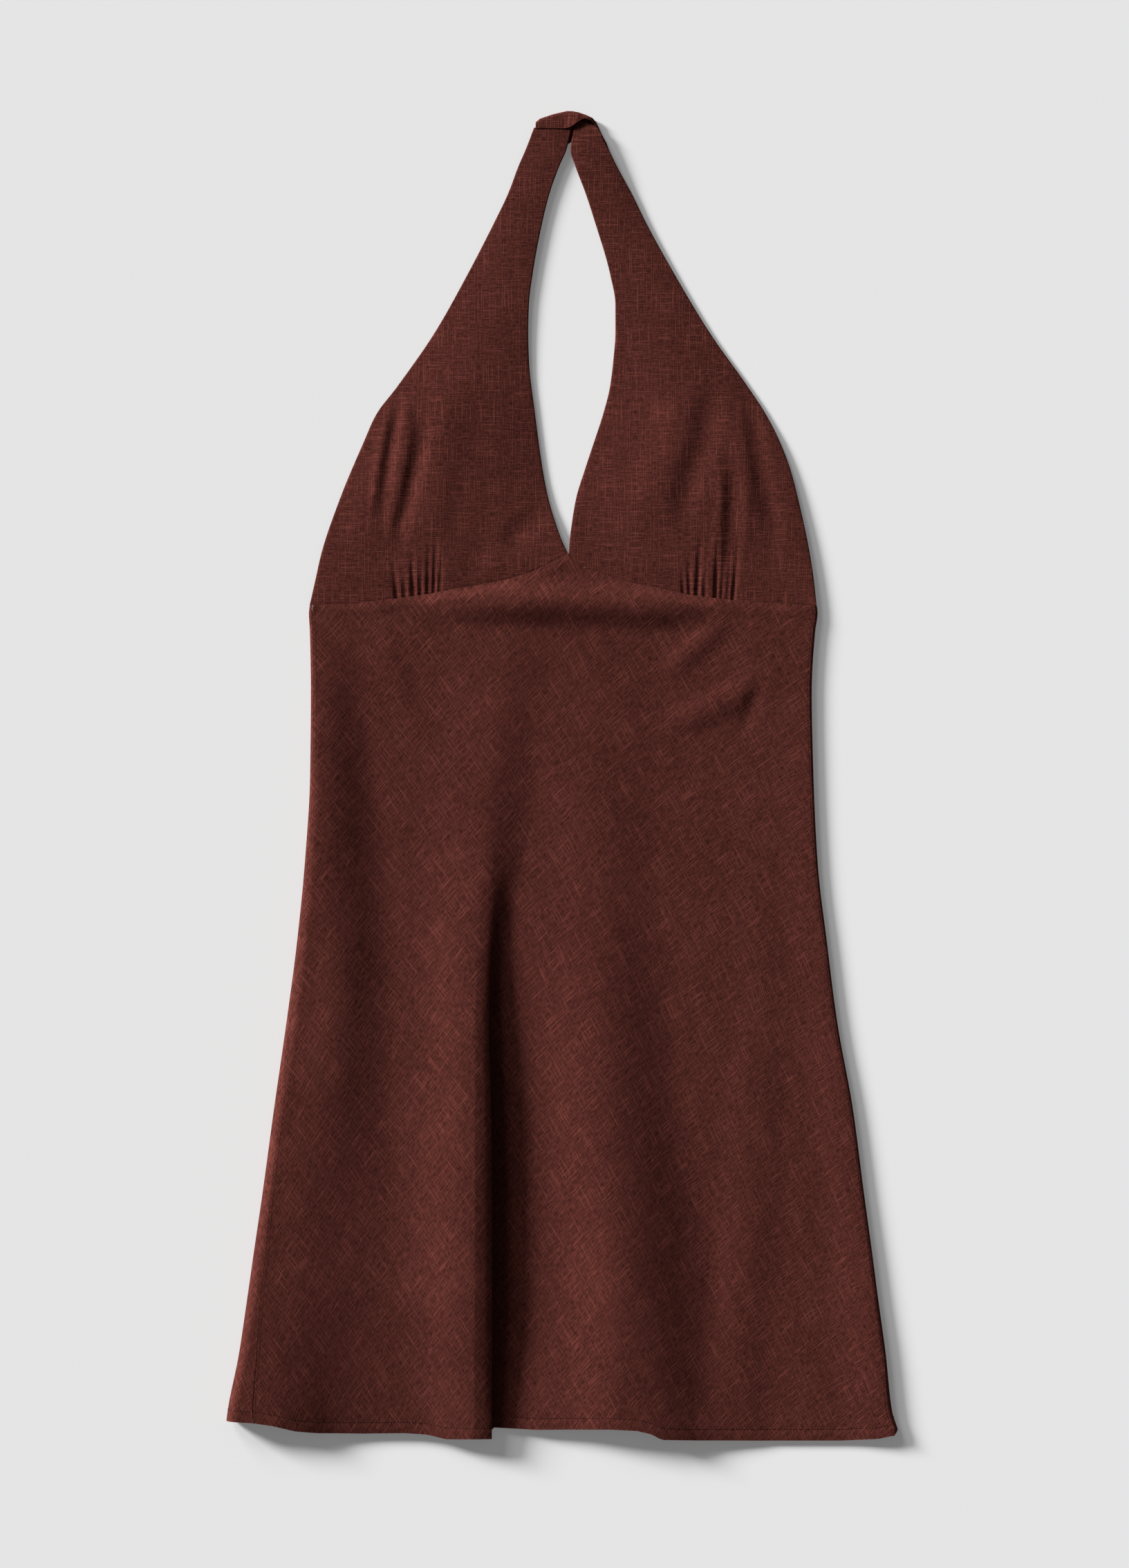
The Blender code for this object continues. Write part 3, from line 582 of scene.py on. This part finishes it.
def line_on_cloth(grid, distance):
    """The line on a sheet that runs this far along the cloth from its first column of points."""
    steps = np.linalg.norm(np.diff(grid, axis=1), axis=2)
    reach = np.concatenate((np.zeros((len(grid), 1)), np.cumsum(steps, axis=1)), axis=1)
    line = []
    for row, along in zip(grid, reach):
        line.append([np.interp(distance, along, row[:, axis]) for axis in range(3)])
    return np.array(line)


def along_line(line, at, places):
    """What a line of points, known at those distances, is at other places."""
    return np.stack([np.interp(places, at, line[:, axis]) for axis in range(3)], axis=1)


def stitch_row(name, grid, distance, stitch, up, material):
    """A row of short stitches on a sheet, at that distance from its first column of points."""
    pitch, length, width = stitch["pitch"], stitch["length"], stitch["width"]
    line = line_on_cloth(grid, distance)
    beside = line_on_cloth(grid, distance + 1.0) - line
    run = np.concatenate(([0.0], np.cumsum(np.linalg.norm(np.diff(line, axis=0), axis=1))))
    places = np.arange(pitch, run[-1] - pitch, pitch)
    places = places + 0.1 * pitch * np.sin(places * 7.3)
    at = along_line(line, run, places)
    ahead = along_line(line, run, places + 0.5) - at
    across = along_line(beside, run, places)
    ahead /= np.linalg.norm(ahead, axis=1)[:, None]
    out = np.cross(ahead, across)
    out *= up / np.linalg.norm(out, axis=1)[:, None]
    across = np.cross(out, ahead)
    vertices, faces = [], []
    for point, forward, sideways, outwards in zip(at, ahead, across, out):
        first = len(vertices)
        for station, girth, height in STITCH_RINGS:
            centre = point + forward * station * length + outwards * height * width / 2
            for k in range(STITCH_SIDES):
                turn = 2 * math.pi * k / STITCH_SIDES
                spoke = sideways * math.cos(turn) + outwards * math.sin(turn)
                vertices.append((centre + spoke * girth * width / 2) * MM)
        for ring in range(3):
            for k in range(STITCH_SIDES):
                a = first + ring * STITCH_SIDES + k
                b = first + ring * STITCH_SIDES + (k + 1) % STITCH_SIDES
                faces.append((a, b, b + STITCH_SIDES, a + STITCH_SIDES))
        faces.append(tuple(range(first + STITCH_SIDES - 1, first - 1, -1)))
        faces.append(tuple(range(first + 3 * STITCH_SIDES, first + 4 * STITCH_SIDES)))
    mesh = bpy.data.meshes.new(name)
    mesh.from_pydata([tuple(vertex) for vertex in vertices], [], faces)
    mesh.materials.append(material)
    mesh.shade_smooth()
    row = bpy.data.objects.new(name, mesh)
    bpy.context.scene.collection.objects.link(row)
    bpy.ops.object.select_all(action="DESELECT")
    row.select_set(True)
    bpy.context.view_layer.objects.active = row
    bpy.ops.object.mode_set(mode="EDIT")
    bpy.ops.mesh.select_all(action="SELECT")
    bpy.ops.mesh.normals_make_consistent(inside=False)
    bpy.ops.object.mode_set(mode="OBJECT")
    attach(row, "root")


brown_thread = bpy.data.materials.new("brown_thread")
brown_thread.use_nodes = True
thread_shader = brown_thread.node_tree.nodes["Principled BSDF"]
thread_shader.inputs["Base Color"].default_value = (0.024, 0.006, 0.0045, 1.0)
thread_shader.inputs["Roughness"].default_value = 0.6
thread_shader.inputs["Specular IOR Level"].default_value = 0.1

hem_of_front = front_grid[::-1].transpose(1, 0, 2)
hem_of_back = back_grid[::-1].transpose(1, 0, 2)
stitch_row("front_hem_stitches", hem_of_front, HEM_TURN, HEM_STITCH, 1, brown_thread)
stitch_row("back_hem_stitches", hem_of_back, HEM_TURN, HEM_STITCH, -1, brown_thread)
stitch_row("left_seam_stitches", front_grid, BESIDE_SEAM, SEAM_STITCH, 1, brown_thread)
stitch_row("right_seam_stitches", front_grid[:, ::-1], BESIDE_SEAM, SEAM_STITCH, -1, brown_thread)


# The cups with their straps: two triangles of linen, each two layers turned out to a clean edge.
# Their fullness is gathered under the bust, where they are sewn to the skirt.
CUP_WALL = 1.5
CUP_SEAM_FADE = 16.0
CUP_EDGE = 0.8
CUP_EDGE_DROP = 0.7
GATHER_HALF = 2.7

# A cup's rows of points lie closer towards the seam, and its columns closer at the gathers.
CUP_ROWS = 150
CUP_ROW_SHAPE = 1.4
CUP_COLUMN = 2.2
GATHER_COLUMN = 0.8
GATHER_MARGIN = 4

# The edges of each cup, how high they lie, and how far its middle puffs up between them.
CUPS = {
    "left_cup": {
        "outer": {
            "y": (448.4, 433, 422, 403, 384, 346, 307, 269, 250, 231, 192, 154, 135, 118),
            "x": (-19.2, -25.1, -29.9, -37.1, -46.2, -65.8, -87.8, -114.2, -128.5, -137.1, -153.4,
                  -166.3, -170.6, -174.4),
        },
        "inner": {
            "y": (448.6, 433, 422, 403, 384, 346, 326, 307, 288, 250, 212, 192, 173, 164, 154),
            "x": (7.0, 3.2, -1.6, -8.4, -13.2, -20.3, -22.7, -23.2, -22.7, -18.4, -13.2, -9.3,
                  -3.6, -0.4, 4.1),
        },
        "lift": {
            "y": (448, 422, 384, 330, 307, 288, 269, 240, 211, 192, 154, 118),
            "outer": (1.7, 1.6, 0.8, 0.2, 0, 0, 0, 0.1, 0.6, 1.2, 1.8, 2.3),
            "inner": (1.7, 1.6, 1.4, 1.2, 0.9, 0.6, 0.3, 0.2, 0.2, 0.6, 2.3, 2.3),
            "puff": (0.3, 0.4, 0.6, 0.8, 1.0, 1.4, 2.0, 2.6, 2.8, 2.6, 1.0, 0.3),
        },
    },
    "right_cup": {
        "outer": {
            "y": (442.5, 433, 422, 403, 384, 346, 307, 269, 250, 231, 212, 192, 154, 135, 118),
            "x": (27.6, 32.6, 38.0, 48.4, 57.7, 78.7, 102.2, 129, 141.4, 151, 158.2, 163.5,
                  171.6, 174.5, 176.3),
        },
        "inner": {
            "y": (442.5, 433, 422, 403, 384, 346, 326, 307, 288, 269, 250, 231, 212, 192, 173,
                  164, 154),
            "x": (7.4, 6.0, 9.3, 16.5, 22.7, 33.7, 37.1, 37.1, 35.7, 33.3, 28.5, 22.3, 16,
                  9.9, 6.7, 5.6, 4.9),
        },
        "lift": {
            "y": (443, 422, 403, 365, 326, 288, 250, 231, 211, 192, 154, 118),
            "outer": (3.3, 2.3, 0.9, 0.3, 0.1, 0, 0.2, 0.8, 1.2, 1.6, 2.0, 2.3),
            "inner": (1.9, 1.4, 0.6, 0.1, 0, 0, 0, 0.1, 0.2, 0.4, 2.3, 2.3),
            "puff": (0.2, 0.4, 0.6, 0.8, 1.0, 1.4, 2.2, 2.6, 2.8, 2.6, 1.0, 0.3),
        },
    },
}

# The creases of each cup, as those of the skirt.
CUP_CREASES = {
    "left_cup": (
        {"x": (-118, -121, -126, -130), "y": (262, 240, 215, 180), "height": 0.62, "half": 6.7},
        {"x": (-112, -114, -119, -123, -126), "y": (262, 254, 226, 200, 165), "height": -1.18,
         "half": 7.8},
        {"x": (-106, -109, -115), "y": (270, 230, 186), "height": 0.74, "half": 7.8},
        {"x": (-93, -97, -101, -110, -114), "y": (256, 230, 211, 176, 150), "height": -1.36,
         "half": 9},
        {"x": (-74, -80, -85, -90, -90), "y": (285, 246, 215, 178, 145), "height": 0.9,
         "half": 22},
        {"x": (-8, -20, -34, -26), "y": (190, 176, 164, 148), "height": -0.87, "half": 13.4},
        {"x": (-60, -60, -60), "y": (164, 146, 132), "height": -0.56, "half": 11.2},
    ),
    "right_cup": (
        {"x": (84, 79, 76, 68, 64, 60), "y": (280, 255, 231, 212, 192, 165), "height": 1.12,
         "half": 24.6},
        {"x": (104, 101, 99, 91, 86, 80), "y": (280, 255, 231, 212, 192, 160), "height": -1.12,
         "half": 14.6},
        {"x": (107, 110, 110, 107.5, 104), "y": (228, 208, 191, 154, 130), "height": 0.6,
         "half": 7},
        {"x": (115, 119, 119, 117, 113), "y": (226, 208, 191, 154, 128), "height": -0.85,
         "half": 10.5},
        {"x": (128, 131, 138, 146, 147), "y": (270, 255, 214, 173, 146), "height": -1.05,
         "half": 10.1},
        {"x": (120, 127, 127), "y": (250, 200, 150), "height": 0.62, "half": 10.1},
    ),
}

# Gathers: where each meets the seam, how far up it runs, how deep it is and which way it leans.
CUP_GATHERS = {
    "left_cup": {
        "x": (-114, -108.5, -102.5, -97.5, -92.5, -88.5, -84.5),
        "length": (30, 22, 42, 27, 46, 48, 30),
        "depth": (0.9, 0.7, 1.1, 0.8, 0.9, 1.0, 0.7),
        "lean": (-3, -1, -2, 0, 1, 2, 2),
    },
    "right_cup": {
        "x": (84.5, 88.5, 93.5, 99, 106.5, 110.5, 114.5, 118.5),
        "length": (24, 34, 54, 22, 58, 32, 30, 56),
        "depth": (0.7, 0.9, 1.1, 0.7, 1.2, 0.8, 0.7, 1.0),
        "lean": (-2, -1, 3, 0, 2, 2, 2, 5),
    },
}


def cup_grid(name):
    """A cup and its strap as a grid, from the neck band down to the seam."""
    shape, gathers = CUPS[name], CUP_GATHERS[name]
    left_edge, right_edge = ("outer", "inner") if name == "left_cup" else ("inner", "outer")
    start, end = (-174.4, 4.1) if name == "left_cup" else (4.9, 176.3)
    bottoms = {left_edge: float(seam_y(start)), right_edge: float(seam_y(end))}
    low, high = gathers["x"][0] - GATHER_MARGIN, gathers["x"][-1] + GATHER_MARGIN
    seam_x = np.concatenate((
        np.linspace(start, low, 1 + round((low - start) / CUP_COLUMN))[:-1],
        np.linspace(low, high, 1 + round((high - low) / GATHER_COLUMN))[:-1],
        np.linspace(high, end, 1 + round((end - high) / CUP_COLUMN))))
    seam_shares = (seam_x - start) / (end - start)
    even_shares = np.linspace(0.0, 1.0, len(seam_x))
    grid = []
    for step in np.linspace(0.0, 1.0, CUP_ROWS):
        t = 1 - (1 - step) ** CUP_ROW_SHAPE
        shares = even_shares + (seam_shares - even_shares) * ease((t - 0.5) / 0.5)
        ends, lifts = [], []
        for edge in (left_edge, right_edge):
            y = shape[edge]["y"][0] + (bottoms[edge] - shape[edge]["y"][0]) * t
            ends.append((float(smooth(shape[edge]["y"], shape[edge]["x"], y)), y))
            lifts.append(float(smooth(shape["lift"]["y"], shape["lift"][edge], y)))
        middle_y = (ends[0][1] + ends[1][1]) / 2
        puff = float(smooth(shape["lift"]["y"], shape["lift"]["puff"], middle_y))
        width = ends[1][0] - ends[0][0]
        inset = CUP_EDGE / width
        shares = np.concatenate(([0, 0.12 * inset, 0.4 * inset], inset + shares * (1 - 2 * inset),
                                 [1 - 0.4 * inset, 1 - 0.12 * inset, 1]))
        x = ends[0][0] + width * shares
        y = ends[0][1] + (ends[1][1] - ends[0][1]) * shares
        sag = seam_y(start + (end - start) * shares)
        sag = sag - bottoms[left_edge] - (bottoms[right_edge] - bottoms[left_edge]) * shares
        y = y + sag * ease((t - 0.55) / 0.45)
        above = y - seam_y(x)
        z = CUP_WALL + lifts[0] + (lifts[1] - lifts[0]) * shares
        z = z + puff * 4 * shares * (1 - shares)
        from_edge = np.minimum(x - ends[0][0], ends[1][0] - x)
        folds = sum(crease(line, x, y) for line in CUP_CREASES[name])
        z = z + folds * ease(from_edge / EDGE_CLEAR)
        z = SEAM_HEIGHT + (z - SEAM_HEIGHT) * ease(above / CUP_SEAM_FADE)
        each = zip(*(gathers[key] for key in ("x", "length", "depth", "lean")))
        for seam_at, length, depth, lean in each:
            line_x = seam_at + lean * np.clip(above / length, 0, 1)
            z = z - depth * hump((x - line_x) / GATHER_HALF) * ease(1 - above / length)
        z = z - SEAM_DIP * hump(above / SEAM_DIP_REACH)
        z = np.maximum(z, CUP_WALL)
        round_off = CUP_EDGE * (1 - np.sqrt(1 - np.clip(1 - from_edge / CUP_EDGE, 0, 1) ** 2))
        z = z - CUP_EDGE_DROP * round_off * ease(above / 3.0)
        grid.append(np.column_stack((x, y, z)))
    return np.array(grid)


for cup_name, piece_name in (("left_cup", "cup_left"), ("right_cup", "cup_right")):
    cup_points = cup_grid(cup_name)
    cup_piece = cloth(piece_name, cup_points, cup_points[:, :, :2], CUP_WALL, True, brown_linen)
    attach(cup_piece, "root")
    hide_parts(cup_name)


# The neck band: a strip of linen folded over along its outer edge. It joins the left strap and
# runs over the top and down behind the right one, where its other end is sewn on.
BAND_WALL = 1.2

# The fold's line, the way the strip lies from it in degrees, how far its front flap and its back
# reach from the fold, and how high the flap lies.
BAND = {
    "x": (-18.0, -15.2, -6, 3.6, 8, 11.7, 17, 21.3, 24.2, 27.7, 31.2, 34.5),
    "y": (452.3, 454.7, 457.8, 460, 459.8, 459, 457.2, 455.2, 451.9, 443.9, 437.5, 428.1),
    "towards": (268, 272, 270, 266, 262, 258, 245, 232, 215, 208, 208, 208),
    "flap": (4.3, 6.7, 9.8, 12.0, 11.0, 7.6, 2.8, 2.5, 2.1, 2.0, 2.0, 2.0),
    "back": (11, 14, 18, 22, 22.5, 20, 16, 13.5, 12, 10, 9, 7),
    "flap_z": (3.2, 3.3, 3.4, 3.5, 4.4, 5.0, 4.8, 3.9, 2.9, 2.6, 2.6, 2.6),
}

# The two edges of the short stretch that is sewn to the right strap.
BAND_END = {
    "left_x": (7.4, 8.3, 10.0, 12.5),
    "left_y": (442.5, 447.5, 450.6, 453.4),
    "right_x": (27.4, 25.5, 23.6, 21.2),
    "right_y": (442.5, 446.8, 448.8, 450.4),
    "left_z": (3.4, 3.3, 3.0, 2.8),
    "right_z": (4.8, 4.4, 3.8, 3.2),
}


def band_grid():
    """The folded strip as a grid: its front layer, the fold and its back layer, all along it."""
    sections = range(len(BAND["x"]))
    places = np.linspace(0, len(BAND["x"]) - 1, 67)
    at = {key: np.interp(places, sections, BAND[key]) for key in BAND}
    grid = []
    for i in range(len(places)):
        towards = math.radians(at["towards"][i])
        radius = (at["flap_z"][i] - BAND_WALL / 2) / 2
        outer = radius + BAND_WALL / 2
        profile = [(reach, 2 * outer) for reach in np.linspace(at["flap"][i], outer, 6)[:-1]]
        for angle in np.linspace(0, math.pi, 13):
            profile.append((outer - outer * math.sin(angle), outer + outer * math.cos(angle)))
        profile += [(reach, 0.0) for reach in np.linspace(outer, at["back"][i], 9)[1:]]
        across, along = math.cos(towards), math.sin(towards)
        grid.append([(at["x"][i] + reach * across, at["y"][i] + reach * along, z)
                     for reach, z in profile])
    return np.array(grid)


def band_end_grid():
    """The band's other end as a grid, from the right strap's seam up into the band."""
    sections = range(len(BAND_END["left_z"]))
    places = np.linspace(len(BAND_END["left_z"]) - 1, 0, 13)
    at = {key: np.interp(places, sections, BAND_END[key]) for key in BAND_END}
    left, right = (np.stack([at[edge + "_" + axis] for axis in "xyz"], axis=1)
                   for edge in ("left", "right"))
    return np.linspace(left, right, 19, axis=1)


for band_name, piece_name, band_points, flat_size in (
        ("neck_band", "band_over_neck", band_grid(), (0.020, 0.068)),
        ("neck_band_end", "band_lower_end", band_end_grid(), (0.020, 0.011))):
    band_threads = band_points[:, :, 1::-1]
    band_piece = cloth(piece_name, band_points, band_threads, BAND_WALL, True, brown_linen)
    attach(band_piece, "root")
    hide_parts(band_name)


# The surface that the dress lies on, pale matt paint with a faint painted glow that lifts its
# shadows, and soft light from the upper left, as in a studio.
bpy.ops.object.select_all(action="DESELECT")
bpy.ops.mesh.primitive_plane_add(size=8.0, location=(0.0, 0.0, -0.0002))
surface = bpy.context.object
surface.name = "pale_surface"
surface_paint_and_glow = bpy.data.materials.new("pale_paint_with_painted_glow")
surface_paint_and_glow.use_nodes = True
surface_shader_with_glow = surface_paint_and_glow.node_tree.nodes["Principled BSDF"]
surface_shader_with_glow.inputs["Base Color"].default_value = (0.655, 0.655, 0.655, 1.0)
# The surface glows faintly: painted light that lifts the shade and the shadows on it.
surface_shader_with_glow.inputs["Emission Color"].default_value = (1.0, 1.0, 1.0, 1.0)
surface_shader_with_glow.inputs["Emission Strength"].default_value = 0.14
surface_shader_with_glow.inputs["Roughness"].default_value = 1.0
surface_shader_with_glow.inputs["Specular IOR Level"].default_value = 0.0
surface.data.materials.append(surface_paint_and_glow)

sky = bpy.data.worlds.new("soft_daylight")
bpy.context.scene.world = sky
sky.use_nodes = True
sky.node_tree.nodes["Background"].inputs["Color"].default_value = (1.0, 1.0, 1.0, 1.0)
sky.node_tree.nodes["Background"].inputs["Strength"].default_value = 0.10


def soft_sun(name, towards_x, towards_y, elevation, share, spread):
    """A wide soft light from that side, which gives the surface that share of full light."""
    light = bpy.data.lights.new(name, "SUN")
    light.energy = share * math.pi / math.sin(math.radians(elevation))
    light.angle = spread
    lamp = bpy.data.objects.new(name, light)
    bpy.context.scene.collection.objects.link(lamp)
    azimuth = math.atan2(towards_y, towards_x)
    lamp.rotation_euler = (0.0, math.radians(90 - elevation), azimuth)
    return lamp


soft_sun("window_left", -0.86, 0.51, 15.5, 0.70, 0.22)
soft_sun("window_top", -0.6, 0.8, 24, 0.18, 0.35)

# The camera looks straight down on the middle of the dress, as in the photograph.
CAMERA_HEIGHT = 4.0
PICTURE_HEIGHT = 1.0856
SENSOR = 36.0
bpy.ops.object.camera_add(location=(0.0019, -0.0057, CAMERA_HEIGHT), rotation=(0.0, 0.0, 0.0))
camera = bpy.context.object
camera.data.sensor_fit = "VERTICAL"
camera.data.sensor_height = SENSOR
camera.data.sensor_width = SENSOR
camera.data.lens = SENSOR * CAMERA_HEIGHT / PICTURE_HEIGHT
camera.data.clip_start = 0.1
camera.data.clip_end = 20.0
bpy.context.scene.camera = camera
bpy.context.scene.view_settings.view_transform = "Standard"
